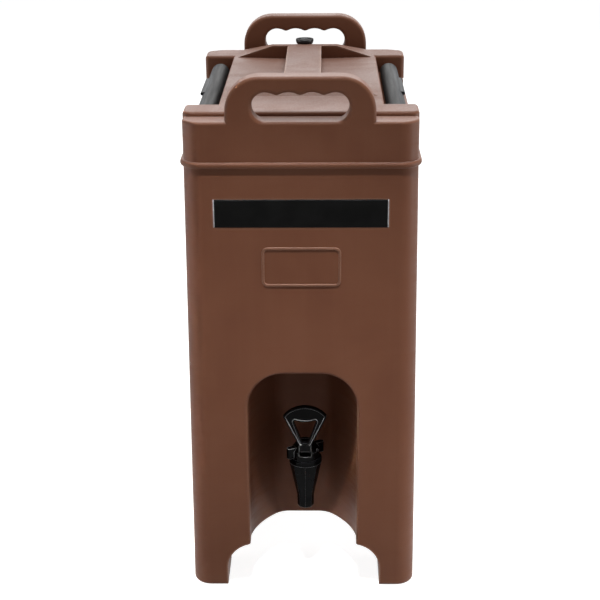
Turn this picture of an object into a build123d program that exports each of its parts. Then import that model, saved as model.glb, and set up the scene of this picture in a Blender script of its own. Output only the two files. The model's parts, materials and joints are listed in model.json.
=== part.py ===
from build123d import *
from math import radians, tan
import os

# Insulated beverage dispenser, in millimetres.
# The origin is on the floor under the middle of the body, the front faces -Y and +Z is up.

# Body
collar_width = 255.0
foot_width = 264.0
body_depth = 419.0
body_corner_radius = 21.0
body_wall = 4.0
rim_height = 567.5
rim_edge_radius = 3.0
deck_drop = 27.5
deck_thickness = 7.0
end_wall = 28.0
bead_drop = 50.5
bead_height = 7.0
bead_proud = 3.5
bead_edge_radius = 3.1

# Feet
underside_height = 57.0
foot_gap_width = 181.0
foot_gap_depth = 290.0
foot_arch_radius = 33.0
foot_edge_radius = 5.0

# Grips on the front and rear walls
grip_width = 161.0
grip_rise = 48.5
grip_thickness = 25.0
grip_corner_radius = 37.0
grip_edge_radius = 4.0
grip_root = 15.0
slot_width = 104.4
slot_height = 27.5
slot_corner_radius = 15.0
finger_count = 4
finger_pitch = 25.0
finger_rise = 4.0
finger_cusp_radius = 6.0

# Tap niche
niche_width = 125.2
niche_top = 277.0
niche_depth = 80.0
niche_arch_radius = 42.0
niche_flare = 4.0
niche_mid_width = 102.8
niche_mid_depth = 51.5
niche_back_width = 54.0
niche_back_radius = 24.0
niche_edge_radius = 3.0

# Label plate and the bare emblem frame on the front
label_width = 190.6
label_height = 31.4
label_drop = 85.0
label_thickness = 1.8
label_recess = 1.2
label_bevel = 0.8
label_clearance = 0.25
frame_width = 87.4
frame_height = 45.5
frame_gap = 22.9
frame_ridge = 3.0
frame_proud = 1.2
frame_edge_radius = 0.9
frame_corner_radius = 7.0

# Insulation and tank
side_insulation = 42.5
end_insulation = 36.5
niche_insulation = 35.0
liner_wall = 3.0
tank_floor = 98.0
tank_shelf_rise = 18.0
tank_corner_radius = 22.0
tank_fillet = 10.0
mouth_flange = 9.0
mouth_flange_thickness = 3.0
fit_gap = 0.3
foam_gap = 0.2

# Plugs of the foam filling holes
fill_hole_radius = 10.0
fill_plug_head = 13.0
fill_plug_head_height = 2.0
body_fill_spacing = 120.0
lid_fill_y = -80.0

# Lid
lid_overhang = 1.0
lid_clearance = 1.0
lid_thickness = 30.0
lid_wall = 4.0
lid_corner_radius = 10.0
lid_edge_radius = 4.0
lid_notch_radius = 5.0
lid_plug_depth = 22.0
lid_plug_clearance = 1.0
gasket_thickness = 2.0
gasket_width = 7.0
rib_rise = 14.5
rib_width = 43.0
hump_top_width = 82.0
hump_base_width = 172.0
hump_edge_radius = 3.0
hump_setback = 80.0
ridge_width = 12.0
ramp_length = 35.0
ramp_margin = 2.5
pocket_dip = 1.5

# Latches, measured from the side of the collar
latch_pin_inset = 13.0
latch_pin_rise = 9.0
latch_pin_radius = 2.5
latch_barrel_radius = 6.0
latch_margin = 60.5
latch_plate = 4.5
latch_plate_out = 4.4
hook_outer_radius = 11.4
hook_drop = 1.5
hook_tip_radius = 1.8
hook_clearance = 0.4
rail_end_gap = 2.0
tab_length = 80.0
tab_reach = 1.2
tab_thickness = 4.0
tab_tip_radius = 1.9
tab_rise = 5.0
latch_end_room = 19.5
notch_gap = 4.2
recess_behind = 14.0
recess_floor_thickness = 9.0
knuckle_length = 7.0
knuckle_gap = 0.4
knuckle_web = 7.0
centre_knuckle = 20.0
leaf_thickness = 2.5
leaf_reach = 12.0
leaf_back = 9.0
pin_press = 0.02
pin_running = 0.05
screw_radius = 2.0
screw_head_radius = 3.8
screw_length = 9.0
screw_shares = (0.18, 0.41)
screw_out = 7.0

# Vent in the lid
vent_inset = 28.5
vent_boss_radius = 14.0
vent_boss_height = 5.0
vent_flange_radius = 10.35
vent_flange_height = 7.0
vent_stub_radius = 7.0
vent_bore_radius = 4.3
vent_nut_width = 20.0
vent_nut_height = 5.0
vent_stub_tail = 8.0
vent_seal_height = 2.0
vent_cap_radius = 11.5
vent_cap_height = 6.0
vent_cap_edge_radius = 0.9
vent_cap_rim = 3.0
vent_cap_dish = 1.5
vent_stem_radius = 4.0
vent_travel = 6.0
vent_barb_radius = 5.4
vent_barb_tip = 2.8
vent_barb_height = 3.0

# Tap, with heights above the axis of its shank
tap_x = 2.5
tap_setback = 39.5
outlet_rise = 29.0
shank_radius = 11.0
shank_bore_radius = 7.0
shank_flange_radius = 15.0
shank_flange_thickness = 4.0
shank_tail = 2.0
tap_seal_thickness = 2.5
tap_washer_radius = 18.0
tap_nut_width = 30.0
tap_nut_thickness = 9.0
spout_end_drop = 38.0
spout_end_size = 9.0
spout_waist_drop = 24.0
spout_waist_size = 9.2
spout_shoulder_size = 17.9
valve_top_rise = 27.0
valve_radius = 19.5
valve_rim = 6.0
valve_edge_radius = 1.5
chamber_radius = 10.0
seat_drop = 9.0
outlet_radius = 6.0
seat_lip = 1.5
bonnet_radius = 17.0
bonnet_barrel = 10.0
bonnet_dome = 10.0
bonnet_dome_radius = 10.0
bonnet_skirt = 8.0
bonnet_roof = 3.0
bonnet_wing_span = 48.0
bonnet_wing_width = 7.0
bonnet_wing_radius = 3.3
bonnet_wing_rise = 2.0
bonnet_wing_height = 13.0
bonnet_wing_angle = 28.0
spring_pocket_radius = 7.5
pivot_rise = 11.0
pivot_offset = 6.5
pivot_pin_radius = 1.5
pivot_pin_length = 28.0
pivot_boss_radius = 4.2
fork_width = 14.0
fork_wall = 2.4
fork_back = 4.0
fork_room = 2.0
neck_drop = 7.0
nub_radius = 1.5
stem_radius = 2.5
stem_head_radius = 3.9
stem_head_height = 2.5
stem_clearance = 0.1
head_clearance = 0.4
seat_cup_radius = 8.5
seat_cup_height = 10.0
seat_cup_hollow = 3.0
seat_cup_depth = 6.5
spring_coil_radius = 5.2
spring_wire_radius = 0.5
spring_turns = 8
handle_setback = 14.0
handle_rise = 71.5
handle_width = 50.6
handle_shoulder_drop = 12.5
handle_neck_rise = 21.0
handle_thickness = 7.0
handle_edge_radius = 0.7
handle_rim = 1.9
handle_channel = 1.0
hole_top_drop = 16.5
hole_top_width = 28.0
hole_base_rise = 4.0
hole_base_width = 7.0
hole_bulge = 3.0
hole_corner_radius = 1.5

# Places that follow from the sizes above
deck_height = rim_height - deck_drop
bead_bottom = rim_height - bead_drop
bead_middle = bead_bottom + bead_height / 2
bead_top = bead_bottom + bead_height
grip_top = rim_height + grip_rise
label_bottom = rim_height - label_drop - label_height
frame_bottom = label_bottom - frame_gap - frame_height
front_y = -body_depth / 2
bay_depth = body_depth - 2 * end_wall
tank_width = collar_width - 2 * (body_wall + side_insulation + liner_wall)
tank_depth = body_depth - 2 * (body_wall + end_insulation + liner_wall)
niche_back_y = front_y + niche_depth
tank_front_y = niche_back_y + body_wall + niche_insulation + liner_wall
tank_shelf_low = niche_top + body_wall + niche_insulation + liner_wall
lid_width = collar_width + 2 * lid_overhang
lid_depth = bay_depth - 2 * lid_clearance
lid_bottom = deck_height + gasket_thickness
lid_shoulder = lid_bottom + lid_thickness
lid_top = lid_shoulder + rib_rise
plug_width = tank_width - 2 * lid_plug_clearance
plug_depth = tank_depth - 2 * lid_plug_clearance
plug_bottom = lid_bottom - lid_plug_depth
hump_front = hump_setback - lid_depth / 2
hump_rear = lid_depth / 2 - ramp_margin
ridge_front = hump_front + ramp_length
ridge_rear = hump_rear - ramp_length
pocket_front = ridge_front + ridge_width
pocket_rear = ridge_rear - ridge_width
pocket_length = pocket_rear - pocket_front
pocket_middle = (pocket_front + pocket_rear) / 2
pocket_floor = lid_shoulder - pocket_dip
latch_length = lid_depth - 2 * latch_margin
latch_pin_x = collar_width / 2 - latch_pin_inset
latch_pin_z = bead_top + latch_pin_rise
hook_x = latch_pin_x + latch_plate_out - hook_outer_radius
hook_top = rim_height - hook_drop
hook_z = hook_top - hook_outer_radius
hook_inner_radius = hook_outer_radius - latch_plate
notch_x = hook_x - hook_outer_radius - notch_gap
notch_length = latch_length + 2 * latch_end_room
recess_x = latch_pin_x - recess_behind
tap_y = front_y + tap_setback
shank_z = tank_floor + outlet_rise
spout_end = shank_z - spout_end_drop
seat_z = shank_z - seat_drop
valve_top = shank_z + valve_top_rise
pivot_y = tap_y - pivot_offset
pivot_z = valve_top + pivot_rise
vent_y = lid_depth / 2 - vent_inset
vent_base = lid_shoulder + vent_boss_height
vent_flange_top = vent_base + vent_flange_height
vent_stub_end = plug_bottom - vent_nut_height - vent_stub_tail
overshoot = 2.0
tiny = 0.01

os.makedirs("parts", exist_ok=True)


def save(piece, name):
    """Label a finished piece and write its file."""
    piece.part.label = name
    export_step(piece.part, f"parts/{name}.step")


# Solids that the body's skin, its hollow and its insulation share, each set in or grown by a wall


def lower_block(inset):
    """The body below the bead, a little wider at the floor."""
    with BuildPart() as block:
        for height, width in ((inset, foot_width), (bead_middle, collar_width)):
            with BuildSketch(Plane.XY.offset(height)):
                RectangleRounded(width - 2 * inset, body_depth - 2 * inset, body_corner_radius - inset)
        loft(ruled=True)
    return block.part


def collar_block(inset):
    """The straight collar between the bead and the rim."""
    with BuildPart() as block:
        with BuildSketch(Plane.XY.offset(bead_middle)):
            RectangleRounded(
                collar_width - 2 * inset, body_depth - 2 * inset, body_corner_radius - inset
            )
        extrude(amount=rim_height - inset - bead_middle)
        if inset == 0:
            fillet(block.faces().sort_by(Axis.Z)[-1].edges(), rim_edge_radius)
    return block.part


def lid_bay(grow, floor):
    """The space for the lid between the front and rear walls."""
    with BuildPart() as bay:
        with BuildSketch(Plane.XY.offset(floor)):
            Rectangle(collar_width + 2 * overshoot, bay_depth + 2 * grow)
        extrude(amount=rim_height - floor + overshoot)
    return bay.part


def latch_recesses(grow, floor):
    """The two side recesses that the latches hang in."""
    reach = collar_width / 2 + bead_proud + overshoot - recess_x + grow
    with BuildPart() as recesses:
        with BuildSketch(Plane.XY.offset(floor)):
            for side in (-1, 1):
                with Locations((side * (recess_x - grow + reach / 2), 0)):
                    Rectangle(reach, notch_length + 2 * grow)
        extrude(amount=deck_height + overshoot - floor)
    return recesses.part


def tap_niche(grow):
    """The arched niche, with a rounded plan, open at the front and below."""
    half_width = niche_width / 2 + grow
    half_plan = (niche_width + niche_flare) / 2
    with BuildPart() as niche:
        with BuildSketch(Plane.XZ.offset(body_depth / 2 + overshoot)) as arch:
            with BuildLine():
                Polyline(
                    (-half_width, -overshoot),
                    (half_width, -overshoot),
                    (half_width, niche_top + grow),
                    (-half_width, niche_top + grow),
                    close=True,
                )
            make_face()
            fillet(arch.vertices().group_by(Axis.Y)[-1], niche_arch_radius + grow)
        extrude(amount=-(niche_depth + grow + overshoot))
        with BuildSketch(Plane.XY.offset(-overshoot)) as plan:
            with BuildLine():
                Polyline(
                    (-half_plan, front_y),
                    (-half_plan, front_y - overshoot),
                    (half_plan, front_y - overshoot),
                    (half_plan, front_y),
                )
                Line((-niche_back_width / 2, niche_back_y), (niche_back_width / 2, niche_back_y))
                for side in (-1, 1):
                    ThreePointArc(
                        (side * half_plan, front_y),
                        (side * niche_mid_width / 2, front_y + niche_mid_depth),
                        (side * niche_back_width / 2, niche_back_y),
                    )
            make_face()
            fillet(plan.vertices().group_by(Axis.Y)[-1], niche_back_radius)
            if grow > 0:
                offset(amount=grow, kind=Kind.INTERSECTION)
        extrude(amount=niche_top + grow + 2 * overshoot, mode=Mode.INTERSECT)
    return niche.part


def foot_arches(grow):
    """The two crossing tunnels under the body that leave four corner feet."""
    top = underside_height + grow
    with BuildPart() as arches:
        for plane, gap, length in (
            (Plane.XZ, foot_gap_width, body_depth),
            (Plane.YZ, foot_gap_depth, foot_width),
        ):
            half_gap = gap / 2 + grow
            with BuildSketch(plane) as section:
                with BuildLine():
                    Polyline(
                        (-half_gap, -overshoot),
                        (half_gap, -overshoot),
                        (half_gap, top),
                        (-half_gap, top),
                        close=True,
                    )
                make_face()
                fillet(section.vertices().group_by(Axis.Y)[-1], foot_arch_radius + grow)
            extrude(amount=length / 2 + overshoot, both=True)
    return arches.part


def body_core(inset):
    """What lies inside the body's skin, with the tank's space still in it."""
    lower = lower_block(inset)
    collar = collar_block(inset)
    bay = lid_bay(inset, deck_height - deck_thickness - (inset - body_wall))
    recesses = latch_recesses(inset, bead_top - recess_floor_thickness - (inset - body_wall))
    niche = tap_niche(inset)
    arches = foot_arches(inset)
    with BuildPart() as core:
        add(lower)
        add(collar)
        add(bay, mode=Mode.SUBTRACT)
        add(recesses, mode=Mode.SUBTRACT)
        add(niche, mode=Mode.SUBTRACT)
        add(arches, mode=Mode.SUBTRACT)
    return core.part


def tank_block(grow, top):
    """The tank's inner space, or with grow its outside: deep at the back, stepped over the niche."""
    back = tank_depth / 2 + grow
    with BuildPart() as tank:
        with BuildSketch(Plane.YZ) as profile:
            with BuildLine():
                Polyline(
                    (-back, top),
                    (-back, tank_shelf_low + tank_shelf_rise - grow),
                    (tank_front_y - grow, tank_shelf_low - grow),
                    (tank_front_y - grow, tank_floor - grow),
                    (back, tank_floor - grow),
                    (back, top),
                    close=True,
                )
            make_face()
            below_top = profile.vertices().filter_by(lambda corner: corner.Y < top - overshoot)
            fillet(below_top, tank_fillet)
        extrude(amount=tank_width / 2 + grow, both=True)
        with BuildSketch(Plane.XY.offset(tank_floor - grow - overshoot)):
            RectangleRounded(tank_width + 2 * grow, tank_depth + 2 * grow, tank_corner_radius + grow)
        extrude(amount=top - tank_floor + grow + 2 * overshoot, mode=Mode.INTERSECT)
    return tank.part


def mouth_plate(grow, bottom, top):
    """A flat plate around the tank's mouth, grown past the liner's outside."""
    spread = liner_wall + grow
    with BuildPart() as plate:
        with BuildSketch(Plane.XY.offset(bottom)):
            RectangleRounded(tank_width + 2 * spread, tank_depth + 2 * spread, tank_corner_radius + spread)
        extrude(amount=top - bottom)
    return plate.part


def tap_bore(radius, start_y, end_y):
    """A round bar along Y on the axis of the tap's shank."""
    with BuildPart() as bore:
        with BuildSketch(Plane.XZ.offset(-start_y)):
            with Locations((tap_x, shank_z)):
                Circle(radius)
        extrude(amount=start_y - end_y)
    return bore.part


# Front grip, with scallops for four fingers over its slot, and its mirror image at the rear
finger_reach = finger_pitch * (finger_count / 2 - 1)
slot_cusp = rim_height + slot_height
with BuildPart() as front_grip:
    with BuildSketch(Plane.XZ.offset(body_depth / 2)) as grip_outline:
        with BuildLine():
            Polyline(
                (-grip_width / 2, rim_height - grip_root),
                (grip_width / 2, rim_height - grip_root),
                (grip_width / 2, grip_top),
                (-grip_width / 2, grip_top),
                close=True,
            )
        make_face()
        fillet(grip_outline.vertices().group_by(Axis.Y)[-1], grip_corner_radius)
        stops = [-slot_width / 2]
        stops += [finger_pitch * step - finger_reach for step in range(finger_count - 1)]
        stops += [slot_width / 2]
        with BuildLine():
            Polyline(
                (-slot_width / 2, slot_cusp),
                (-slot_width / 2, rim_height),
                (slot_width / 2, rim_height),
                (slot_width / 2, slot_cusp),
            )
            for left, right in zip(stops, stops[1:]):
                ThreePointArc(
                    (left, slot_cusp), ((left + right) / 2, slot_cusp + finger_rise), (right, slot_cusp)
                )
        make_face(mode=Mode.SUBTRACT)
        slot_ends = grip_outline.vertices().filter_by(
            lambda corner: abs(abs(corner.X) - slot_width / 2) < tiny
        )
        fillet(slot_ends, slot_corner_radius)
        cusps = grip_outline.vertices().filter_by(
            lambda corner: abs(corner.Y - slot_cusp) < tiny and abs(corner.X) < finger_reach + tiny
        )
        fillet(cusps, finger_cusp_radius)
    extrude(amount=-grip_thickness)
    grip_faces = front_grip.faces().filter_by(Axis.Y).sort_by(Axis.Y)
    fillet(grip_faces[0].edges() + grip_faces[-1].edges(), grip_edge_radius)

# Body shell
outer_lower = lower_block(0)
outer_collar = collar_block(0)
lid_space = lid_bay(0, deck_height)
latch_space = latch_recesses(0, bead_top)
niche_space = tap_niche(0)
arch_space = foot_arches(0)
body_hollow = body_core(body_wall)
mouth_space = mouth_plate(fit_gap, deck_height - deck_thickness - overshoot, deck_height + overshoot)
flange_space = mouth_plate(
    mouth_flange + fit_gap, deck_height - mouth_flange_thickness, deck_height + overshoot
)
shank_space = tap_bore(shank_radius + fit_gap, niche_back_y - overshoot, tank_front_y)
fill_places = [(0, -body_fill_spacing / 2), (0, body_fill_spacing / 2)]
screw_places = [
    (side * (latch_pin_x + screw_out), end * share * latch_length)
    for side in (-1, 1)
    for share in screw_shares
    for end in (-1, 1)
]
leaf_top = bead_top + leaf_thickness
with BuildPart() as body_shell:
    add(outer_lower)
    fillet(body_shell.faces().sort_by(Axis.Z)[0].edges(), foot_edge_radius)
    add(outer_collar)
    with BuildSketch(Plane.XY.offset(bead_bottom)):
        RectangleRounded(
            collar_width + 2 * bead_proud, body_depth + 2 * bead_proud, body_corner_radius + bead_proud
        )
    extrude(amount=bead_height)
    bead_edges = body_shell.edges().filter_by(
        lambda edge: abs(edge.center().Z - bead_middle) > bead_height / 2 - tiny
        and abs(edge.center().Z - bead_middle) < bead_height / 2 + tiny
        and (
            abs(edge.center().X) > collar_width / 2 + bead_proud / 2
            or abs(edge.center().Y) > body_depth / 2 + bead_proud / 2
            or (edge.geom_type == GeomType.CIRCLE and edge.radius > body_corner_radius + bead_proud / 2)
        )
    )
    fillet(bead_edges, bead_edge_radius)
    add(arch_space, mode=Mode.SUBTRACT)
    add(niche_space, mode=Mode.SUBTRACT)
    niche_edges = body_shell.edges().filter_by(
        lambda edge: abs(edge.center().Y - front_y) < tiny
        and edge.center().Z > underside_height
        and edge.center().Z < niche_top + tiny
        and abs(edge.center().X) < niche_width / 2 + tiny
    )
    fillet(niche_edges, niche_edge_radius)
    add(front_grip.part)
    mirror(front_grip.part, about=Plane.XZ)
    add(lid_space, mode=Mode.SUBTRACT)
    add(latch_space, mode=Mode.SUBTRACT)
    add(body_hollow, mode=Mode.SUBTRACT)
    add(mouth_space, mode=Mode.SUBTRACT)
    add(flange_space, mode=Mode.SUBTRACT)
    add(shank_space, mode=Mode.SUBTRACT)
    with BuildSketch(Plane.XZ.offset(body_depth / 2)):
        with Locations((0, label_bottom + label_height / 2)):
            Rectangle(label_width + 2 * label_clearance, label_height + 2 * label_clearance)
    extrude(amount=-label_recess, mode=Mode.SUBTRACT)
    with BuildSketch(Plane.XZ.offset(body_depth / 2)):
        with Locations((0, frame_bottom + frame_height / 2)):
            RectangleRounded(frame_width, frame_height, frame_corner_radius)
            RectangleRounded(
                frame_width - 2 * frame_ridge,
                frame_height - 2 * frame_ridge,
                frame_corner_radius - frame_ridge,
                mode=Mode.SUBTRACT,
            )
    extrude(amount=frame_proud)
    frame_face = body_shell.faces().filter_by(
        lambda face: abs(face.center().Y - front_y + frame_proud) < tiny and face.center().Z < label_bottom
    )
    fillet(frame_face.edges(), frame_edge_radius)
    with Locations(Plane.XY.offset(underside_height)):
        with Locations(fill_places):
            Cylinder(fill_hole_radius, 2 * body_wall + 2 * overshoot, mode=Mode.SUBTRACT)
    with Locations(Plane.XY.offset(bead_top)):
        with Locations(screw_places):
            Cylinder(screw_radius + pin_running, 2 * screw_length, mode=Mode.SUBTRACT)
save(body_shell, "body_shell")

# Tank liner
tank_space = tank_block(0, deck_height + 2 * overshoot)
tank_outside = tank_block(liner_wall, deck_height)
mouth_ring = mouth_plate(mouth_flange, deck_height - mouth_flange_thickness, deck_height)
with BuildPart() as tank_liner:
    add(tank_outside)
    add(mouth_ring)
    add(tank_space, mode=Mode.SUBTRACT)
    add(shank_space, mode=Mode.SUBTRACT)
save(tank_liner, "tank_liner")

# Body insulation
foam_block = body_core(body_wall + foam_gap)
foam_tank_space = tank_block(liner_wall + foam_gap, deck_height)
foam_bore = tap_bore(shank_radius + fit_gap + foam_gap, niche_back_y, tank_front_y)
with BuildPart() as body_foam:
    add(foam_block)
    add(foam_tank_space, mode=Mode.SUBTRACT)
    add(foam_bore, mode=Mode.SUBTRACT)
save(body_foam, "body_foam")

# Plugs of the body's two filling holes
with BuildPart() as body_foam_plugs:
    with Locations(Plane.XY.offset(underside_height)):
        with Locations(fill_places):
            Cylinder(fill_plug_head, fill_plug_head_height, align=(Align.CENTER, Align.CENTER, Align.MAX))
            Cylinder(
                fill_hole_radius - fit_gap, body_wall, align=(Align.CENTER, Align.CENTER, Align.MIN)
            )
save(body_foam_plugs, "body_foam_plugs")

# Label plate
with BuildPart() as label_plate:
    with BuildSketch(Plane.XZ.offset(body_depth / 2 - label_recess)):
        with Locations((0, label_bottom + label_height / 2)):
            Rectangle(label_width, label_height)
    extrude(amount=label_thickness)
    chamfer(label_plate.faces().sort_by(Axis.Y)[0].edges(), label_bevel)
save(label_plate, "label_plate")

# Lid: solids that its skin and its insulation share


def lid_core(inset):
    """What lies inside the lid's skin: slab, plug and rib."""
    slab_bottom = plug_bottom + inset
    with BuildPart() as core:
        with BuildSketch(Plane.XY.offset(slab_bottom)):
            RectangleRounded(plug_width - 2 * inset, plug_depth - 2 * inset, tank_corner_radius - inset)
        extrude(amount=lid_bottom + inset - slab_bottom)
        with BuildSketch(Plane.XY.offset(lid_bottom + inset)):
            RectangleRounded(lid_width - 2 * inset, lid_depth - 2 * inset, lid_corner_radius - inset)
            for side in (-1, 1):
                with Locations((side * (notch_x - inset + lid_width / 2), 0)):
                    Rectangle(lid_width, notch_length + 2 * inset, mode=Mode.SUBTRACT)
        extrude(amount=pocket_floor - lid_bottom - 2 * inset)
        with BuildSketch(Plane.XY.offset(pocket_floor - inset)):
            with Locations((0, pocket_middle)):
                Rectangle(rib_width - 2 * inset, pocket_length - 2 * inset)
        extrude(amount=lid_top - pocket_floor)
    return core.part


lid_hollow = lid_core(lid_wall)
rail_radius = (
    (hook_x - hook_inner_radius - latch_pin_x) ** 2 + (hook_z - latch_pin_z) ** 2
) ** 0.5 - hook_clearance
rail_end_x = latch_pin_x + latch_plate_out - latch_plate - rail_end_gap
rail_bottom = latch_pin_z + latch_barrel_radius + gasket_thickness + overshoot
with BuildPart() as lid_hump:
    with BuildSketch(Plane.XY.offset(lid_shoulder)):
        with Locations((0, (hump_front + hump_rear) / 2)):
            Rectangle(hump_base_width, hump_rear - hump_front)
    with BuildSketch(Plane.XY.offset(lid_top)):
        with Locations((0, (ridge_front + ridge_rear) / 2)):
            Rectangle(hump_top_width, ridge_rear - ridge_front)
    loft()
    fillet(lid_hump.faces().sort_by(Axis.Z)[-1].edges(), hump_edge_radius)
with BuildPart() as lid_shell:
    with BuildSketch(Plane.XY.offset(lid_bottom)) as lid_plan:
        RectangleRounded(lid_width, lid_depth, lid_corner_radius)
        for side in (-1, 1):
            with Locations((side * (notch_x + lid_width / 2), 0)):
                Rectangle(lid_width, notch_length, mode=Mode.SUBTRACT)
        notch_corners = lid_plan.vertices().filter_by(
            lambda corner: abs(abs(corner.X) - lid_width / 2) < tiny and abs(corner.Y) < notch_length / 2 + tiny
        )
        fillet(notch_corners, lid_notch_radius)
    extrude(amount=lid_thickness)
    fillet(lid_shell.faces().sort_by(Axis.Z)[-1].edges(), lid_edge_radius)
    add(lid_hump.part)
    with BuildSketch(Plane.XZ.offset(-pocket_front)):
        for side in (-1, 1):
            with BuildLine():
                Polyline(
                    (side * rib_width / 2, pocket_floor),
                    (side * hump_base_width / 2, lid_shoulder),
                    (side * hump_base_width / 2, lid_top + overshoot),
                    (side * rib_width / 2, lid_top + overshoot),
                    close=True,
                )
            make_face()
    extrude(amount=-pocket_length, mode=Mode.SUBTRACT)
    with BuildSketch(Plane.XY.offset(plug_bottom)):
        RectangleRounded(plug_width, plug_depth, tank_corner_radius)
    extrude(amount=lid_plug_depth)
    with BuildSketch(Plane.XZ):
        with Locations((latch_pin_x, latch_pin_z)):
            Circle(rail_radius)
        with Locations(((notch_x + rail_end_x) / 2, rail_bottom + rail_radius / 2)):
            Rectangle(rail_end_x - notch_x, rail_radius, mode=Mode.INTERSECT)
        mirror(about=Plane.YZ)
    extrude(amount=notch_length / 2, both=True)
    with Locations((0, vent_y, lid_shoulder - lid_wall)):
        Cylinder(
            vent_boss_radius,
            vent_boss_height + lid_wall,
            align=(Align.CENTER, Align.CENTER, Align.MIN),
        )
    with Locations((0, vent_y, vent_base)):
        Cylinder(
            vent_flange_radius + fit_gap,
            2 * rib_rise,
            align=(Align.CENTER, Align.CENTER, Align.MIN),
            mode=Mode.SUBTRACT,
        )
    add(lid_hollow, mode=Mode.SUBTRACT)
    with Locations((0, vent_y, vent_base)):
        Cylinder(vent_stub_radius + fit_gap, 4 * lid_thickness, mode=Mode.SUBTRACT)
    with Locations((0, lid_fill_y, plug_bottom)):
        Cylinder(fill_hole_radius, 2 * lid_wall + 2 * overshoot, mode=Mode.SUBTRACT)
save(lid_shell, "lid_shell")

# Lid insulation, with the vent's bushing passing through it
lid_foam_block = lid_core(lid_wall + foam_gap)
with BuildPart() as lid_foam:
    add(lid_foam_block)
    with Locations((0, vent_y, lid_bottom)):
        Cylinder(vent_stub_radius + fit_gap + foam_gap, 4 * lid_thickness, mode=Mode.SUBTRACT)
save(lid_foam, "lid_foam")

# Plug of the lid's filling hole
with BuildPart() as lid_foam_plug:
    with Locations((0, lid_fill_y, plug_bottom)):
        Cylinder(fill_plug_head, fill_plug_head_height, align=(Align.CENTER, Align.CENTER, Align.MAX))
        Cylinder(fill_hole_radius - fit_gap, lid_wall, align=(Align.CENTER, Align.CENTER, Align.MIN))
save(lid_foam_plug, "lid_foam_plug")

# Lid gasket, flat on the mouth flange
with BuildPart() as lid_gasket:
    with BuildSketch(Plane.XY.offset(deck_height)):
        RectangleRounded(
            tank_width + 2 * (gasket_width + lid_plug_clearance),
            tank_depth + 2 * (gasket_width + lid_plug_clearance),
            tank_corner_radius + gasket_width + lid_plug_clearance,
        )
        RectangleRounded(
            tank_width + 2 * lid_plug_clearance,
            tank_depth + 2 * lid_plug_clearance,
            tank_corner_radius + lid_plug_clearance,
            mode=Mode.SUBTRACT,
        )
    extrude(amount=gasket_thickness)
save(lid_gasket, "lid_gasket")

# Latches: hook, plate and barrel in one moulding, with a pull tab in the middle
barrel_start = centre_knuckle / 2 + knuckle_gap
with BuildPart() as latch_right:
    with BuildSketch(Plane.XZ) as hook_section:
        with Locations((hook_x, hook_z)):
            Circle(hook_outer_radius)
            Circle(hook_inner_radius, mode=Mode.SUBTRACT)
            Rectangle(
                2 * hook_outer_radius,
                hook_outer_radius,
                align=(Align.CENTER, Align.MAX),
                mode=Mode.SUBTRACT,
            )
        tip = hook_section.vertices().filter_by(lambda corner: corner.X < hook_x and corner.Y < hook_z + tiny)
        fillet(tip, hook_tip_radius)
        with Locations((latch_pin_x + latch_plate_out, latch_pin_z)):
            Rectangle(latch_plate, hook_z - latch_pin_z, align=(Align.MAX, Align.MIN))
    extrude(amount=latch_length / 2, both=True)
    with BuildSketch(Plane.XZ):
        with Locations((latch_pin_x, latch_pin_z)):
            Circle(latch_barrel_radius)
    extrude(amount=latch_length / 2, both=True)
    with BuildSketch(Plane.XZ) as tab_section:
        with Locations((hook_x + hook_inner_radius, hook_z + tab_rise)):
            Rectangle(latch_plate + tab_reach, tab_thickness, align=(Align.MIN, Align.MIN))
        fillet(tab_section.vertices().group_by(Axis.X)[-1], tab_tip_radius)
    extrude(amount=tab_length / 2, both=True)
    with BuildSketch(Plane.XZ):
        with Locations((latch_pin_x, latch_pin_z)):
            Circle(latch_barrel_radius + knuckle_gap)
    extrude(amount=barrel_start, both=True, mode=Mode.SUBTRACT)
    with BuildSketch(Plane.XZ):
        with Locations((latch_pin_x, latch_pin_z)):
            Circle(latch_pin_radius + pin_running)
    extrude(amount=latch_length, both=True, mode=Mode.SUBTRACT)
with BuildPart() as latch_left:
    mirror(latch_right.part, about=Plane.YZ)
save(latch_right, "latch_right")
save(latch_left, "latch_left")

# Hinge brackets: a leaf on the recess floor with three knuckles around the pin
bracket_length = latch_length + 2 * (knuckle_gap + knuckle_length)
with BuildPart() as latch_bracket_right:
    with BuildSketch(Plane.XY.offset(bead_top)):
        with Locations((latch_pin_x - leaf_back, 0)):
            Rectangle(leaf_back + leaf_reach, bracket_length, align=(Align.MIN, Align.CENTER))
    extrude(amount=leaf_thickness)
    end_middle = (latch_length + knuckle_length) / 2 + knuckle_gap
    for middle, length in (
        (-end_middle, knuckle_length),
        (0, centre_knuckle),
        (end_middle, knuckle_length),
    ):
        with BuildSketch(Plane.XZ.offset(-middle)):
            with Locations((latch_pin_x, latch_pin_z)):
                Circle(latch_barrel_radius)
                Rectangle(
                    knuckle_web,
                    latch_pin_rise,
                    align=(Align.CENTER, Align.MAX),
                )
        extrude(amount=length / 2, both=True)
    with BuildSketch(Plane.XZ):
        with Locations((latch_pin_x, latch_pin_z)):
            Circle(latch_pin_radius + pin_press)
    extrude(amount=bracket_length, both=True, mode=Mode.SUBTRACT)
    with Locations(Plane.XY.offset(leaf_top)):
        with Locations([place for place in screw_places if place[0] > 0]):
            CounterSinkHole(screw_radius + fit_gap, screw_head_radius + fit_gap, counter_sink_angle=90)
with BuildPart() as latch_bracket_left:
    mirror(latch_bracket_right.part, about=Plane.YZ)
save(latch_bracket_right, "latch_bracket_right")
save(latch_bracket_left, "latch_bracket_left")

# Hinge pins and the brackets' countersunk screws
with BuildPart() as latch_pin_right:
    with BuildSketch(Plane.XZ):
        with Locations((latch_pin_x, latch_pin_z)):
            Circle(latch_pin_radius)
    extrude(amount=bracket_length / 2, both=True)
with BuildPart() as latch_pin_left:
    mirror(latch_pin_right.part, about=Plane.YZ)
save(latch_pin_right, "latch_pin_right")
save(latch_pin_left, "latch_pin_left")

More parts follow.
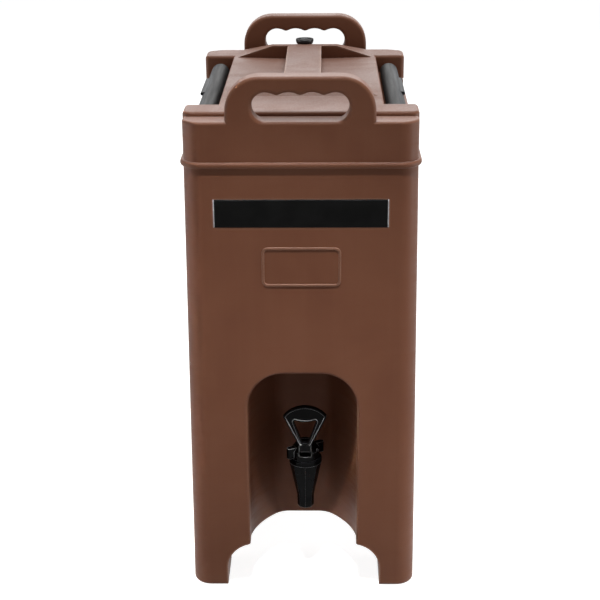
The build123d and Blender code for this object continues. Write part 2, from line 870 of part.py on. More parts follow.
screw_head_height = (screw_head_radius - screw_radius) / tan(radians(45))
with BuildPart() as latch_screws_right:
    with Locations(Plane.XY.offset(leaf_top)):
        with Locations([place for place in screw_places if place[0] > 0]):
            Cylinder(screw_radius, screw_length, align=(Align.CENTER, Align.CENTER, Align.MAX))
            Cone(
                screw_radius,
                screw_head_radius,
                screw_head_height,
                align=(Align.CENTER, Align.CENTER, Align.MAX),
            )
with BuildPart() as latch_screws_left:
    mirror(latch_screws_right.part, about=Plane.YZ)
save(latch_screws_right, "latch_screws_right")
save(latch_screws_left, "latch_screws_left")

# Vent: bushing through the lid, nut under it, and a cap that lifts on its stem
with BuildPart() as vent_bushing:
    with Locations((0, vent_y, vent_base)):
        Cylinder(vent_flange_radius, vent_flange_height, align=(Align.CENTER, Align.CENTER, Align.MIN))
        Cylinder(
            vent_stub_radius, vent_base - vent_stub_end, align=(Align.CENTER, Align.CENTER, Align.MAX)
        )
        Cylinder(vent_bore_radius, 4 * (vent_base - vent_stub_end), mode=Mode.SUBTRACT)
save(vent_bushing, "vent_bushing")

with BuildPart() as vent_nut:
    with BuildSketch(Plane.XY.offset(plug_bottom - vent_nut_height)):
        with Locations((0, vent_y)):
            RegularPolygon(vent_nut_width / 2, 6, major_radius=False)
            Circle(vent_stub_radius + pin_running, mode=Mode.SUBTRACT)
    extrude(amount=vent_nut_height)
save(vent_nut, "vent_nut")

with BuildPart() as vent_seal:
    with BuildSketch(Plane.XY.offset(vent_flange_top)):
        with Locations((0, vent_y)):
            Circle(vent_flange_radius - overshoot / 2)
            Circle(vent_stem_radius + pin_running, mode=Mode.SUBTRACT)
    extrude(amount=vent_seal_height)
save(vent_seal, "vent_seal")

vent_disc_bottom = vent_flange_top + vent_seal_height
vent_barb_top = vent_stub_end - vent_travel - fit_gap
with BuildPart() as vent_cap:
    with Locations((0, vent_y, vent_disc_bottom)):
        Cone(
            vent_flange_radius,
            vent_cap_radius,
            vent_cap_height / 2,
            align=(Align.CENTER, Align.CENTER, Align.MIN),
        )
    with Locations((0, vent_y, vent_disc_bottom + vent_cap_height / 2)):
        Cylinder(vent_cap_radius, vent_cap_height / 2, align=(Align.CENTER, Align.CENTER, Align.MIN))
    fillet(vent_cap.faces().sort_by(Axis.Z)[-1].edges(), vent_cap_edge_radius)
    with Locations((0, vent_y, vent_disc_bottom + vent_cap_height)):
        Cone(
            vent_cap_radius - vent_cap_rim - vent_cap_dish,
            vent_cap_radius - vent_cap_rim,
            vent_cap_dish,
            align=(Align.CENTER, Align.CENTER, Align.MAX),
            mode=Mode.SUBTRACT,
        )
    with Locations((0, vent_y, vent_disc_bottom)):
        Cylinder(
            vent_stem_radius,
            vent_disc_bottom - vent_barb_top,
            align=(Align.CENTER, Align.CENTER, Align.MAX),
        )
    with Locations((0, vent_y, vent_barb_top)):
        Cone(
            vent_barb_tip,
            vent_barb_radius,
            vent_barb_height,
            align=(Align.CENTER, Align.CENTER, Align.MAX),
        )
save(vent_cap, "vent_cap")

# Tap body: faceted spout, valve chamber with its seat, and the shank through the wall
spout_sections = (
    (spout_end, spout_end_size),
    (shank_z - spout_waist_drop, spout_waist_size),
    (valve_top - valve_rim, spout_shoulder_size),
)
shank_flange_y = niche_back_y - tap_seal_thickness
nut_end_y = tank_front_y + tap_seal_thickness + tap_nut_thickness + shank_tail
with BuildPart() as faucet_body:
    for height, size in spout_sections:
        with BuildSketch(Plane.XY.offset(height)):
            with Locations((tap_x, tap_y)):
                RegularPolygon(size, 8, major_radius=False)
    loft(ruled=True)
    with Locations((tap_x, tap_y, valve_top)):
        Cylinder(valve_radius, valve_rim, align=(Align.CENTER, Align.CENTER, Align.MAX))
    fillet(faucet_body.faces().sort_by(Axis.Z)[-1].edges(), valve_edge_radius)
    add(tap_bore(shank_radius, tap_y, nut_end_y))
    add(tap_bore(shank_flange_radius, shank_flange_y - shank_flange_thickness, shank_flange_y))
    with Locations((tap_x, tap_y, valve_top)):
        Cylinder(
            chamber_radius,
            valve_top - seat_z,
            align=(Align.CENTER, Align.CENTER, Align.MAX),
            mode=Mode.SUBTRACT,
        )
    with Locations((tap_x, tap_y, seat_z)):
        Cylinder(outlet_radius + seat_lip, seat_lip, align=(Align.CENTER, Align.CENTER, Align.MIN))
        Cylinder(outlet_radius, 2 * (seat_z - spout_end) + 2 * overshoot, mode=Mode.SUBTRACT)
    add(tap_bore(shank_bore_radius, tap_y + chamber_radius / 2, nut_end_y + overshoot), mode=Mode.SUBTRACT)
save(faucet_body, "faucet_body")


def tap_ring(inner_radius, outer_radius, start_y, thickness):
    """A flat ring around the tap's shank."""
    with BuildPart() as ring:
        with BuildSketch(Plane.XZ.offset(-start_y)):
            with Locations((tap_x, shank_z)):
                Circle(outer_radius)
                Circle(inner_radius, mode=Mode.SUBTRACT)
        extrude(amount=-thickness)
    return ring


faucet_gasket = tap_ring(shank_radius + fit_gap, shank_flange_radius, shank_flange_y, tap_seal_thickness)
save(faucet_gasket, "faucet_gasket")
faucet_washer = tap_ring(shank_radius + fit_gap, tap_washer_radius, tank_front_y, tap_seal_thickness)
save(faucet_washer, "faucet_washer")
with BuildPart() as faucet_nut:
    with BuildSketch(Plane.XZ.offset(-tank_front_y - tap_seal_thickness)):
        with Locations((tap_x, shank_z)):
            RegularPolygon(tap_nut_width / 2, 6, major_radius=False)
            Circle(shank_radius + pin_running, mode=Mode.SUBTRACT)
    extrude(amount=-tap_nut_thickness)
save(faucet_nut, "faucet_nut")

# Bonnet: winged, domed cap with the slot that the handle turns in
tap_side = Plane.YZ.offset(tap_x)
bonnet_barrel_top = valve_top + bonnet_barrel
fork_slot_bottom = pivot_z - pivot_boss_radius - fit_gap
with BuildPart() as faucet_bonnet:
    with Locations((tap_x, tap_y, valve_top)):
        Cylinder(bonnet_radius, bonnet_barrel, align=(Align.CENTER, Align.CENTER, Align.MIN))
        Cylinder(chamber_radius - pin_running, bonnet_skirt, align=(Align.CENTER, Align.CENTER, Align.MAX))
    with Locations((tap_x, tap_y, bonnet_barrel_top)):
        Cone(
            bonnet_radius, bonnet_dome_radius, bonnet_dome, align=(Align.CENTER, Align.CENTER, Align.MIN)
        )
    with Locations(Location((tap_x, tap_y, valve_top + bonnet_wing_rise), (0, 0, bonnet_wing_angle))):
        for side in (-1, 1):
            with Locations((side * (bonnet_wing_span / 2), 0, 0)):
                Box(
                    bonnet_wing_span / 2 - chamber_radius,
                    bonnet_wing_width,
                    bonnet_wing_height,
                    align=(Align.MAX if side > 0 else Align.MIN, Align.CENTER, Align.MIN),
                )
    wing_edges = faucet_bonnet.edges().filter_by(Axis.Z).filter_by(
        lambda edge: (edge.center() - Vector(tap_x, tap_y, edge.center().Z)).length > bonnet_radius + overshoot
    )
    fillet(wing_edges, bonnet_wing_radius)
    with Locations((tap_x, tap_y + fork_back + fork_room, fork_slot_bottom)):
        Box(
            fork_width + 2 * fit_gap,
            2 * bonnet_radius,
            bonnet_barrel + bonnet_dome,
            align=(Align.CENTER, Align.MAX, Align.MIN),
            mode=Mode.SUBTRACT,
        )
    with BuildSketch(tap_side):
        with Locations((pivot_y, pivot_z)):
            Circle(pivot_pin_radius + pin_press)
    extrude(amount=bonnet_wing_span, both=True, mode=Mode.SUBTRACT)
    with Locations((tap_x, tap_y, valve_top - bonnet_skirt)):
        Cylinder(
            spring_pocket_radius,
            fork_slot_bottom - bonnet_roof - valve_top + bonnet_skirt,
            align=(Align.CENTER, Align.CENTER, Align.MIN),
            mode=Mode.SUBTRACT,
        )
    with Locations((tap_x, tap_y, valve_top)):
        Cylinder(stem_radius + stem_clearance, 4 * bonnet_skirt, mode=Mode.SUBTRACT)
save(faucet_bonnet, "faucet_bonnet")

# Handle: rimmed loop over a fork that straddles the stem's head, with two nubs under the head
fork_inner = fork_width / 2 - fork_wall
handle_y = tap_y - handle_setback
handle_plane = Plane(origin=(tap_x, handle_y, 0), x_dir=(1, 0, 0), z_dir=(0, -1, 0))
handle_front = handle_y - handle_thickness / 2
handle_back = handle_y + handle_thickness / 2
neck_z = valve_top + handle_neck_rise
neck_bottom = neck_z - neck_drop
handle_top = valve_top + handle_rise
handle_shoulder = handle_top - handle_shoulder_drop
hole_top = handle_top - hole_top_drop
hole_base = neck_z + hole_base_rise
with BuildSketch(handle_plane) as handle_outline:
    with BuildLine():
        Polyline(
            (-handle_width / 2, handle_shoulder),
            (-fork_width / 2, neck_z),
            (fork_width / 2, neck_z),
            (handle_width / 2, handle_shoulder),
        )
        ThreePointArc(
            (handle_width / 2, handle_shoulder), (0, handle_top), (-handle_width / 2, handle_shoulder)
        )
    make_face()
    with BuildLine():
        Polyline(
            (-hole_top_width / 2, hole_top),
            (-hole_base_width / 2, hole_base),
            (hole_base_width / 2, hole_base),
            (hole_top_width / 2, hole_top),
        )
        ThreePointArc(
            (hole_top_width / 2, hole_top), (0, hole_top - hole_bulge), (-hole_top_width / 2, hole_top)
        )
    make_face(mode=Mode.SUBTRACT)
    hole_corners = handle_outline.vertices().filter_by(lambda corner: corner.Y < hole_top + tiny).filter_by(
        lambda corner: corner.Y > neck_z + tiny
    )
    fillet(hole_corners, hole_corner_radius)
with BuildPart() as faucet_handle:
    with BuildSketch(handle_plane.offset(-handle_thickness / 2)):
        add(handle_outline.sketch_local)
    extrude(amount=handle_thickness)
    loop_faces = faucet_handle.faces().filter_by(Axis.Y).sort_by(Axis.Y)
    fillet(loop_faces[0].edges() + loop_faces[-1].edges(), handle_edge_radius)
    with BuildSketch(handle_plane.offset(handle_thickness / 2)):
        add(handle_outline.sketch_local)
        offset(amount=-handle_rim, kind=Kind.INTERSECTION, mode=Mode.REPLACE)
    extrude(amount=-handle_channel, mode=Mode.SUBTRACT)
    with BuildSketch(tap_side):
        with BuildLine():
            Polyline(
                (pivot_y, pivot_z - pivot_boss_radius),
                (tap_y + fork_back, pivot_z - pivot_boss_radius + overshoot / 2),
                (tap_y + fork_back, pivot_z + pivot_boss_radius),
                (handle_back, neck_bottom + overshoot),
                (handle_back, neck_z + overshoot),
                (handle_front, neck_z + overshoot),
                (handle_front, neck_bottom),
                (pivot_y - pivot_boss_radius, pivot_z),
                close=True,
            )
        make_face()
        with Locations((pivot_y, pivot_z)):
            Circle(pivot_boss_radius)
    extrude(amount=fork_width / 2, both=True)
    with Locations((tap_x, handle_back, pivot_z)):
        Box(
            2 * fork_inner,
            2 * bonnet_radius,
            4 * pivot_boss_radius,
            align=(Align.CENTER, Align.MIN, Align.CENTER),
            mode=Mode.SUBTRACT,
        )
    with BuildSketch(tap_side):
        with Locations((tap_y, pivot_z)):
            Circle(nub_radius)
    extrude(amount=fork_inner + fork_wall / 2, both=True)
    with BuildSketch(tap_side):
        with Locations((tap_y, pivot_z)):
            Circle(nub_radius + fit_gap)
    extrude(amount=stem_radius + head_clearance, both=True, mode=Mode.SUBTRACT)
    with BuildSketch(tap_side):
        with Locations((pivot_y, pivot_z)):
            Circle(pivot_pin_radius + pin_running)
    extrude(amount=fork_width, both=True, mode=Mode.SUBTRACT)
save(faucet_handle, "faucet_handle")

with BuildPart() as faucet_handle_pin:
    with BuildSketch(tap_side):
        with Locations((pivot_y, pivot_z)):
            Circle(pivot_pin_radius)
    extrude(amount=pivot_pin_length / 2, both=True)
save(faucet_handle_pin, "faucet_handle_pin")

# Stem with its head over the nubs, and the silicone cup that closes the seat
cup_bottom = seat_z + seat_lip + fit_gap
cup_top = cup_bottom + seat_cup_height
head_bottom = pivot_z + nub_radius + head_clearance
with BuildPart() as faucet_stem:
    with Locations((tap_x, tap_y, cup_top - seat_cup_depth)):
        Cylinder(
            stem_radius,
            head_bottom - cup_top + seat_cup_depth,
            align=(Align.CENTER, Align.CENTER, Align.MIN),
        )
    with Locations((tap_x, tap_y, head_bottom)):
        Cylinder(stem_head_radius, stem_head_height, align=(Align.CENTER, Align.CENTER, Align.MIN))
save(faucet_stem, "faucet_stem")

with BuildPart() as faucet_seat_cup:
    with Locations((tap_x, tap_y, cup_bottom)):
        Cylinder(seat_cup_radius, seat_cup_height, align=(Align.CENTER, Align.CENTER, Align.MIN))
        Cylinder(
            outlet_radius,
            seat_cup_hollow,
            align=(Align.CENTER, Align.CENTER, Align.MIN),
            mode=Mode.SUBTRACT,
        )
    with Locations((tap_x, tap_y, cup_top)):
        Cylinder(
            stem_radius + pin_press,
            seat_cup_depth,
            align=(Align.CENTER, Align.CENTER, Align.MAX),
            mode=Mode.SUBTRACT,
        )
save(faucet_seat_cup, "faucet_seat_cup")

# Return spring between the cup and the bonnet
spring_bottom = cup_top + spring_wire_radius + fit_gap
spring_top = fork_slot_bottom - bonnet_roof - spring_wire_radius - fit_gap
spring_pitch = (spring_top - spring_bottom) / spring_turns
with BuildPart() as faucet_spring:
    with BuildLine(Plane(origin=(tap_x, tap_y, spring_bottom))):
        coil = Helix(spring_pitch, spring_top - spring_bottom, spring_coil_radius)
    with BuildSketch(Plane(origin=coil @ 0, z_dir=coil % 0)):
        Circle(spring_wire_radius)
    sweep(path=coil, is_frenet=True)
save(faucet_spring, "faucet_spring")
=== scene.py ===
import json
from math import cos, radians, sin

import bpy
from mathutils import Matrix, Vector


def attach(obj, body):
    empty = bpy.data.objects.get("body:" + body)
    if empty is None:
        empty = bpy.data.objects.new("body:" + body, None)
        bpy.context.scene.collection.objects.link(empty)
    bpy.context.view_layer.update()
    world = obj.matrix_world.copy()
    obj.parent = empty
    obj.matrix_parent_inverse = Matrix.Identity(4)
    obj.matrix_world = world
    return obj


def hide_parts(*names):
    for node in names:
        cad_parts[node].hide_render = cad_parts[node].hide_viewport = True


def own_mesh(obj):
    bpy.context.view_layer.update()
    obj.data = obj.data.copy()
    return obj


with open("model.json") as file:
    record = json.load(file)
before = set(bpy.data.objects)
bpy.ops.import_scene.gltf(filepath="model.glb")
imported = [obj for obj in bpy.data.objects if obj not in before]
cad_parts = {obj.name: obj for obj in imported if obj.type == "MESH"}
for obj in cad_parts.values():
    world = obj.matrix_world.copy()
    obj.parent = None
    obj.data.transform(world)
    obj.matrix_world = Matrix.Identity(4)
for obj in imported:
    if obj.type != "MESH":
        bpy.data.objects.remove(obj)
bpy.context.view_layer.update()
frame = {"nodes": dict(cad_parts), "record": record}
scene = bpy.context.scene
scene.view_settings.view_transform = "Standard"


# Node helpers

# Sockets of the Mix node that belong to colours; its other sockets share their names
MIX_SHARE = 0
MIX_FIRST = 6
MIX_SECOND = 7
MIX_RESULT = 2
# Match of the true and the rounded normal: below the first an edge, above the second a flat place
EDGE_MATCH = (0.8, 0.98)
# Openness seen from inside: below the first a tight lip, above the second a flat place
LIP_OPENNESS = (0.45, 0.85)


class Shader:
    """One procedural material: a Principled shader and the nodes that feed it."""

    def __init__(self, name, roughness, **sockets):
        self.material = bpy.data.materials.new(name)
        self.material.use_nodes = True
        self.tree = self.material.node_tree
        self.surface = self.tree.nodes["Principled BSDF"]
        self.coords = self.node("ShaderNodeTexCoord").outputs["Object"]
        self.surface.inputs["Roughness"].default_value = roughness
        for socket, value in sockets.items():
            self.surface.inputs[socket.replace("_", " ")].default_value = value

    def node(self, kind, **settings):
        made = self.tree.nodes.new(kind)
        for key, value in settings.items():
            setattr(made, key, value)
        return made

    def link(self, output, socket):
        self.tree.links.new(output, socket)

    def stretched(self, scale):
        mapping = self.node("ShaderNodeMapping")
        mapping.inputs["Scale"].default_value = scale
        self.link(self.coords, mapping.inputs["Vector"])
        return mapping.outputs["Vector"]

    def noise(self, scale, detail=3.0, stretch=None, distortion=0.0):
        noise = self.node("ShaderNodeTexNoise")
        noise.inputs["Scale"].default_value = scale
        noise.inputs["Detail"].default_value = detail
        noise.inputs["Distortion"].default_value = distortion
        self.link(self.coords if stretch is None else self.stretched(stretch), noise.inputs["Vector"])
        return noise.outputs["Fac"]

    def cells(self, scale):
        cells = self.node("ShaderNodeTexVoronoi", feature="F1")
        cells.inputs["Scale"].default_value = scale
        self.link(self.coords, cells.inputs["Vector"])
        return cells.outputs["Distance"]

    def distance_along(self, axis):
        """Distance from the middle of the frame along one axis, in metres."""
        split = self.node("ShaderNodeSeparateXYZ")
        self.link(self.coords, split.inputs["Vector"])
        size = self.node("ShaderNodeMath", operation="ABSOLUTE")
        self.link(split.outputs[axis], size.inputs[0])
        return size.outputs[0]

    def rounded_edges(self, radius):
        """The normal with every edge rounded, and a mask that is 1 on those edges."""
        rounded = self.node("ShaderNodeBevel", samples=8)
        rounded.inputs["Radius"].default_value = radius
        match = self.node("ShaderNodeVectorMath", operation="DOT_PRODUCT")
        self.link(rounded.outputs["Normal"], match.inputs[0])
        self.link(self.node("ShaderNodeNewGeometry").outputs["Normal"], match.inputs[1])
        return rounded.outputs["Normal"], self.span(match.outputs["Value"], 1.0, 0.0, *EDGE_MATCH)

    def tight_lips(self, reach):
        """1 on tightly rounded convex edges, found by looking into the piece, and 0 on flat places."""
        inwards = self.node("ShaderNodeAmbientOcclusion", inside=True, only_local=True, samples=6)
        inwards.inputs["Distance"].default_value = reach
        return self.span(inwards.outputs["AO"], 1.0, 0.0, *LIP_OPENNESS)

    def upward(self, start, full):
        """0 on steep faces and 1 on level ones that look up."""
        split = self.node("ShaderNodeSeparateXYZ")
        self.link(self.node("ShaderNodeNewGeometry").outputs["Normal"], split.inputs["Vector"])
        return self.span(split.outputs["Z"], 0.0, 1.0, start, full)

    def product(self, first, second):
        product = self.node("ShaderNodeMath", operation="MULTIPLY")
        self.link(first, product.inputs[0])
        self.link(second, product.inputs[1])
        return product.outputs[0]

    def span(self, value, low, high, from_low=0.3, from_high=0.7):
        span = self.node("ShaderNodeMapRange")
        span.inputs["From Min"].default_value = from_low
        span.inputs["From Max"].default_value = from_high
        span.inputs["To Min"].default_value = low
        span.inputs["To Max"].default_value = high
        self.link(value, span.inputs["Value"])
        return span.outputs["Result"]

    def ramp(self, value, *stops):
        ramp = self.node("ShaderNodeValToRGB")
        elements = ramp.color_ramp.elements
        while len(elements) < len(stops):
            elements.new(0.5)
        for element, (place, colour) in zip(elements, stops):
            element.position = place
            element.color = (*colour, 1.0)
        self.link(value, ramp.inputs["Fac"])
        return ramp.outputs["Color"]

    def mix(self, first, second, share):
        mix = self.node("ShaderNodeMix", data_type="RGBA", blend_type="MIX")
        self.link(share, mix.inputs[MIX_SHARE])
        for colour, socket in ((first, MIX_FIRST), (second, MIX_SECOND)):
            if isinstance(colour, tuple):
                mix.inputs[socket].default_value = (*colour, 1.0)
            else:
                self.link(colour, mix.inputs[socket])
        return mix.outputs[MIX_RESULT]

    def bump(self, height, strength, depth, under=None):
        bump = self.node("ShaderNodeBump")
        bump.inputs["Strength"].default_value = strength
        bump.inputs["Distance"].default_value = depth
        self.link(height, bump.inputs["Height"])
        if under is not None:
            self.link(under, bump.inputs["Normal"])
        return bump.outputs["Normal"]

    def finish(self, colour, roughness, normal):
        self.link(colour, self.surface.inputs["Base Color"])
        self.link(roughness, self.surface.inputs["Roughness"])
        self.link(normal, self.surface.inputs["Normal"])
        return self.material


# Materials

# Grey of upward faces: partly dirt settled there, partly painted sheen of level tops catching the light
DUST_AND_SHEEN_GREY = (0.42, 0.40, 0.39)
# Lighter brown of the painted highlight on tight convex lips
LIP_HIGHLIGHT_BROWN = (0.30, 0.17, 0.12)
LIP_SHARE_OF_WALL = 0.87
SHELL_WALL = 0.004
LINER_WALL = 0.003
EDGE_ROUNDING = 0.0012
BROWN_GLOSS = 0.17
LABEL_GLOSS = 0.03
# Width and softness of the painted highlight at each end of the label plate
LABEL_HIGHLIGHT_WIDTH = 0.0013
LABEL_HIGHLIGHT_SOFTNESS = 0.2
LATCH_GLOSS = 0.12
# Painted shade on the latches: black nearer the middle than this X, for the shadowed gap beside the lid
LATCH_SHADE_X = 0.109
LATCH_SHADE_FADE = 0.003
PAINTED_GAP_SHADE = (0.004, 0.004, 0.004)


def moulded_brown(name, dark, middle, light, roughness, wall):
    """Rotomoulded polyethylene: cloudy pigment, vertical flow, pebbled skin, a painted highlight on tight
    convex lips, and a grey on upward faces that is partly dirt and partly painted sheen.
    """
    shader = Shader(name, roughness, Specular_IOR_Level=BROWN_GLOSS)
    cloud = shader.noise(7.0, 4.0, distortion=0.4)
    colour = shader.ramp(cloud, (0.3, dark), (0.5, middle), (0.72, light))
    flow = shader.noise(1.0, 3.0, stretch=(70.0, 70.0, 5.0))
    colour = shader.mix(colour, light, shader.span(flow, 0.0, 0.22, 0.45, 0.75))
    speck = shader.noise(520.0, 2.0)
    colour = shader.mix(colour, dark, shader.span(speck, 0.0, 0.3, 0.55, 0.75))
    # Painted highlight: tight convex lips are mixed towards a lighter brown, standing in for lips
    # catching the light
    colour = shader.mix(colour, LIP_HIGHLIGHT_BROWN, shader.tight_lips(LIP_SHARE_OF_WALL * wall))
    # Upward faces turn grey: partly dirt settled there, partly painted sheen where level tops catch the
    # light
    dust_and_sheen_share = shader.span(shader.noise(620.0, 3.0), 0.04, 0.18, 0.35, 0.65)
    colour = shader.mix(colour, DUST_AND_SHEEN_GREY, shader.product(dust_and_sheen_share, shader.upward(0.8, 0.98)))
    scuff = shader.noise(1.0, 6.0, stretch=(16.0, 16.0, 160.0), distortion=1.2)
    scuffed = shader.span(scuff, roughness - 0.05, roughness + 0.1, 0.4, 0.75)
    pebble = shader.bump(shader.noise(900.0, 2.0), 0.22, 0.0003)
    wave = shader.bump(shader.noise(28.0, 2.0), 0.25, 0.0012, under=pebble)
    return shader.finish(colour, scuffed, wave)


def black_plastic(name, roughness, dark, light, edge, gloss):
    """Injection-moulded black plastic: faint flow pattern, hairline handling marks and a painted
    highlight on its rounded edges.
    """
    shader = Shader(name, roughness, Specular_IOR_Level=gloss)
    colour = shader.ramp(shader.noise(60.0, 3.0), (0.35, dark), (0.7, light))
    rounded, edges = shader.rounded_edges(EDGE_ROUNDING)
    # Painted highlight: every rounded edge is mixed towards the light edge colour, standing in for edges
    # catching the light
    colour = shader.mix(colour, edge, edges)
    marks = shader.noise(1.0, 5.0, stretch=(90.0, 420.0, 60.0), distortion=0.8)
    skin = shader.bump(shader.noise(1300.0, 2.0), 0.08, 0.0002, under=rounded)
    return shader.finish(colour, shader.span(marks, roughness - 0.04, roughness + 0.1), skin)


def label_with_painted_highlights(half_length, highlight_width):
    """Black label plate with a painted highlight: a pale grey band at each end stands in for the plate's
    end edges catching the light.
    """
    shader = Shader("label_black_painted_highlights", roughness=0.4, Specular_IOR_Level=LABEL_GLOSS)
    sheet = shader.ramp(
        shader.noise(60.0, 3.0), (0.35, (0.0045, 0.0045, 0.0045)), (0.7, (0.007, 0.007, 0.007)))
    # Painted highlight: pale grey at each end of the plate
    highlight_grey = shader.ramp(shader.noise(400.0, 3.0), (0.3, (0.34, 0.34, 0.35)), (0.7, (0.52, 0.52, 0.53)))
    highlight_from = half_length - highlight_width
    highlight_share = shader.span(shader.distance_along("X"), 0.0, 1.0, highlight_from, highlight_from + LABEL_HIGHLIGHT_SOFTNESS * highlight_width)
    marks = shader.noise(1.0, 5.0, stretch=(60.0, 90.0, 420.0), distortion=0.8)
    skin = shader.bump(shader.noise(1300.0, 2.0), 0.08, 0.0002)
    return shader.finish(shader.mix(sheet, highlight_grey, highlight_share), shader.span(marks, 0.34, 0.5), skin)


def grained_grey(shade_x, fade):
    """Satin nylon of the latches, with a fine spark-eroded grain and painted shade: black on the inner
    side beside the lid, where the gap to the lid lies in shadow.
    """
    shader = Shader("latch_nylon", roughness=0.55, Specular_IOR_Level=LATCH_GLOSS)
    colour = shader.ramp(
        shader.noise(24.0, 4.0), (0.3, (0.019, 0.020, 0.022)), (0.7, (0.030, 0.031, 0.034)))
    # Painted shade: nearer the middle than the given X the latch is painted black, for the shadowed gap
    # beside the lid
    unshaded = shader.span(shader.distance_along("X"), 0.0, 1.0, shade_x, shade_x + fade)
    colour = shader.mix(PAINTED_GAP_SHADE, colour, unshaded)
    rub = shader.noise(1.0, 5.0, stretch=(240.0, 12.0, 240.0))
    grain = shader.bump(shader.noise(1500.0, 3.0), 0.3, 0.00025)
    return shader.finish(colour, shader.span(rub, 0.48, 0.62), grain)


def cellular_foam():
    """Poured insulating foam: pale cells with darker seams."""
    shader = Shader("insulating_foam", roughness=0.9)
    cells = shader.cells(260.0)
    colour = shader.ramp(cells, (0.05, (0.86, 0.76, 0.52)), (0.6, (0.74, 0.62, 0.38)))
    return shader.finish(colour, shader.span(cells, 0.95, 0.8, 0.0, 0.6), shader.bump(cells, 0.6, 0.001))


def brushed_steel():
    """Stainless pins, screws and spring with fine drawing lines."""
    shader = Shader("stainless_steel", roughness=0.28, Metallic=1.0)
    lines = shader.noise(1.0, 4.0, stretch=(1800.0, 60.0, 1800.0))
    colour = shader.ramp(lines, (0.3, (0.46, 0.46, 0.47)), (0.7, (0.66, 0.66, 0.67)))
    return shader.finish(colour, shader.span(lines, 0.2, 0.4), shader.bump(lines, 0.1, 0.0001))


def soft_rubber(name, dark, light, roughness):
    """Moulded seal rubber with a dusty bloom."""
    shader = Shader(name, roughness)
    bloom = shader.noise(90.0, 5.0)
    colour = shader.ramp(bloom, (0.35, dark), (0.7, light))
    return shader.finish(colour, shader.span(bloom, roughness - 0.06, roughness + 0.08),
                         shader.bump(shader.noise(1100.0, 2.0), 0.15, 0.0002))


looks = {
    "brown_shell": moulded_brown(
        "moulded_brown", dark=(0.124, 0.045, 0.023), middle=(0.143, 0.054, 0.028),
        light=(0.163, 0.065, 0.036), roughness=0.5, wall=SHELL_WALL),
    "brown_liner": moulded_brown(
        "liner_brown", dark=(0.130, 0.049, 0.026), middle=(0.148, 0.058, 0.032),
        light=(0.168, 0.069, 0.040), roughness=0.36, wall=LINER_WALL),
    "foam": cellular_foam(),
    "grey_latch": grained_grey(LATCH_SHADE_X, LATCH_SHADE_FADE),
    "steel": brushed_steel(),
    # The edge colour of each black plastic is its painted highlight on rounded edges
    "black_gloss": black_plastic(
        "gloss_black", roughness=0.12, dark=(0.0014, 0.0014, 0.0016), light=(0.003, 0.003, 0.0035),
        edge=(0.36, 0.36, 0.37), gloss=0.04),
    "black_plug": black_plastic(
        "plug_black", roughness=0.5, dark=(0.018, 0.014, 0.012), light=(0.03, 0.024, 0.021),
        edge=(0.05, 0.045, 0.04), gloss=0.2),
    "silicone": soft_rubber(
        "silicone", dark=(0.60, 0.60, 0.57), light=(0.76, 0.76, 0.73), roughness=0.42),
    "black_seal": soft_rubber(
        "seal_rubber", dark=(0.016, 0.016, 0.016), light=(0.034, 0.033, 0.032), roughness=0.6),
}
node_looks = {
    "label_plate": label_with_painted_highlights(frame["nodes"]["label_plate"].dimensions.x / 2, LABEL_HIGHLIGHT_WIDTH),
    # Its edge colour is a painted highlight on the cap's rounded edges
    "vent_cap": black_plastic(
        "vent_black", roughness=0.3, dark=(0.004, 0.004, 0.0045), light=(0.008, 0.008, 0.009),
        edge=(0.3, 0.3, 0.31), gloss=0.35),
}

for row in frame["record"]["subparts"]:
    node = frame["nodes"][row["node"]]
    node.data.materials.clear()
    node.data.materials.append(node_looks.get(row["node"], looks[row["material_slot"]]))


# Return spring of the tap, which in use shortens as the stem lifts: here a copy with its own mesh, fixed
# to the body in place of the imported spring

spring = bpy.data.objects.new("return_spring", frame["nodes"]["faucet_spring"].data.copy())
scene.collection.objects.link(spring)
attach(spring, "body")
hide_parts("faucet_spring")
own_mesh(spring)


# Camera

EYE = Vector((0.0259, -1.6460, 0.9101))
YAW = radians(-1.101)
PITCH = radians(20.713)
ROLL = radians(-0.433)
FOCAL_LENGTH = 83.163
SENSOR_WIDTH = 36.0
forward = Vector((sin(YAW) * cos(PITCH), cos(YAW) * cos(PITCH), -sin(PITCH)))
level_right = Vector((cos(YAW), -sin(YAW), 0.0))
level_up = level_right.cross(forward)
right = cos(ROLL) * level_right + sin(ROLL) * level_up
up = cos(ROLL) * level_up - sin(ROLL) * level_right
camera_data = bpy.data.cameras.new("camera")
camera_data.lens = FOCAL_LENGTH
camera_data.sensor_width = SENSOR_WIDTH
camera_data.clip_end = 100.0
camera = bpy.data.objects.new("camera", camera_data)
camera.matrix_world = Matrix((
    (right.x, up.x, -forward.x, EYE.x),
    (right.y, up.y, -forward.y, EYE.y),
    (right.z, up.z, -forward.z, EYE.z),
    (0.0, 0.0, 0.0, 1.0),
))
scene.collection.objects.link(camera)
scene.camera = camera


# Studio: white surroundings, a pale floor and five soft lamps

def rays_that_see_white(tree):
    """1 for rays that show the surroundings: from the camera, in gloss or through glass."""
    path = tree.nodes.new("ShaderNodeLightPath")
    first = tree.nodes.new("ShaderNodeMath")
    first.operation = "MAXIMUM"
    both = tree.nodes.new("ShaderNodeMath")
    both.operation = "MAXIMUM"
    tree.links.new(path.outputs["Is Camera Ray"], first.inputs[0])
    tree.links.new(path.outputs["Is Glossy Ray"], first.inputs[1])
    tree.links.new(first.outputs[0], both.inputs[0])
    tree.links.new(path.outputs["Is Transmission Ray"], both.inputs[1])
    return both.outputs[0]


AMBIENT = 0.12
world = bpy.data.worlds.new("studio")
world.use_nodes = True
scene.world = world
sky = world.node_tree.nodes["Background"]
sky.inputs["Color"].default_value = (1.0, 1.0, 1.0, 1.0)
sky_level = world.node_tree.nodes.new("ShaderNodeMapRange")
sky_level.inputs["To Min"].default_value = AMBIENT
sky_level.inputs["To Max"].default_value = 1.0
world.node_tree.links.new(rays_that_see_white(world.node_tree), sky_level.inputs["Value"])
world.node_tree.links.new(sky_level.outputs["Result"], sky.inputs["Strength"])

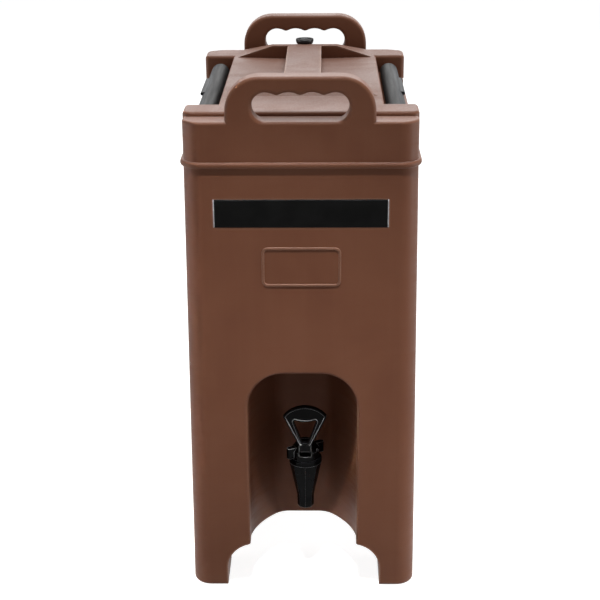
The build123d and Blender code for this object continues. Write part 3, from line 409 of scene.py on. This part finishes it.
FLOOR_HALF = 20.0
FLOOR_GLOW = 0.92
FLOOR_GREY = (0.5, 0.5, 0.5)
FLOOR_ROUGHNESS = 0.9
floor_mesh = bpy.data.meshes.new("floor")
corners = [(-FLOOR_HALF, -FLOOR_HALF, 0.0), (FLOOR_HALF, -FLOOR_HALF, 0.0),
           (FLOOR_HALF, FLOOR_HALF, 0.0), (-FLOOR_HALF, FLOOR_HALF, 0.0)]
floor_mesh.from_pydata(corners, [], [(0, 1, 2, 3)])
floor = bpy.data.objects.new("floor", floor_mesh)
scene.collection.objects.link(floor)
floor_look = bpy.data.materials.new("pale_floor")
floor_look.use_nodes = True
floor_tree = floor_look.node_tree
floor_surface = floor_tree.nodes["Principled BSDF"]
floor_surface.inputs["Base Color"].default_value = (*FLOOR_GREY, 1.0)
floor_surface.inputs["Roughness"].default_value = FLOOR_ROUGHNESS
floor_surface.inputs["Specular IOR Level"].default_value = 0.0
floor_surface.inputs["Emission Color"].default_value = (1.0, 1.0, 1.0, 1.0)
glow = floor_tree.nodes.new("ShaderNodeMapRange")
glow.inputs["To Min"].default_value = 0.0
glow.inputs["To Max"].default_value = FLOOR_GLOW
floor_tree.links.new(rays_that_see_white(floor_tree), glow.inputs["Value"])
floor_tree.links.new(glow.outputs["Result"], floor_surface.inputs["Emission Strength"])
floor_mesh.materials.append(floor_look)


def soft_lamp(name, place, target, width, height, power, spread):
    """A rectangular lamp that the camera doesn't see, in metres, watts and degrees."""
    lamp_data = bpy.data.lights.new(name, "AREA")
    lamp_data.shape = "RECTANGLE"
    lamp_data.size = width
    lamp_data.size_y = height
    lamp_data.energy = power
    lamp_data.spread = radians(spread)
    lamp = bpy.data.objects.new(name, lamp_data)
    lamp.location = place
    lamp.visible_camera = False
    lamp.rotation_euler = (Vector(target) - Vector(place)).to_track_quat("-Z", "Y").to_euler()
    scene.collection.objects.link(lamp)


NARROW_BEAM = 6.0
WIDE_BEAM = 180.0
soft_lamp("key_lamp", place=(-0.1, -1.14, 3.15), target=(0.0, -0.21, 0.30),
          width=0.7, height=0.12, power=0.68, spread=NARROW_BEAM)
soft_lamp("left_lamp", place=(-1.75, -0.32, 0.4), target=(0.0, -0.2, 0.35),
          width=0.5, height=0.9, power=12.0, spread=WIDE_BEAM)
soft_lamp("right_lamp", place=(1.75, -0.32, 0.4), target=(0.0, -0.2, 0.35),
          width=0.5, height=0.9, power=14.0, spread=WIDE_BEAM)
soft_lamp("top_lamp", place=(0.2, 0.5, 2.6), target=(0.0, 0.1, 0.4),
          width=2.0, height=1.6, power=53.0, spread=WIDE_BEAM)
soft_lamp("back_lamp", place=(0.0, 2.6, 1.7), target=(0.0, 0.0, 0.6),
          width=3.2, height=1.6, power=30.0, spread=WIDE_BEAM)
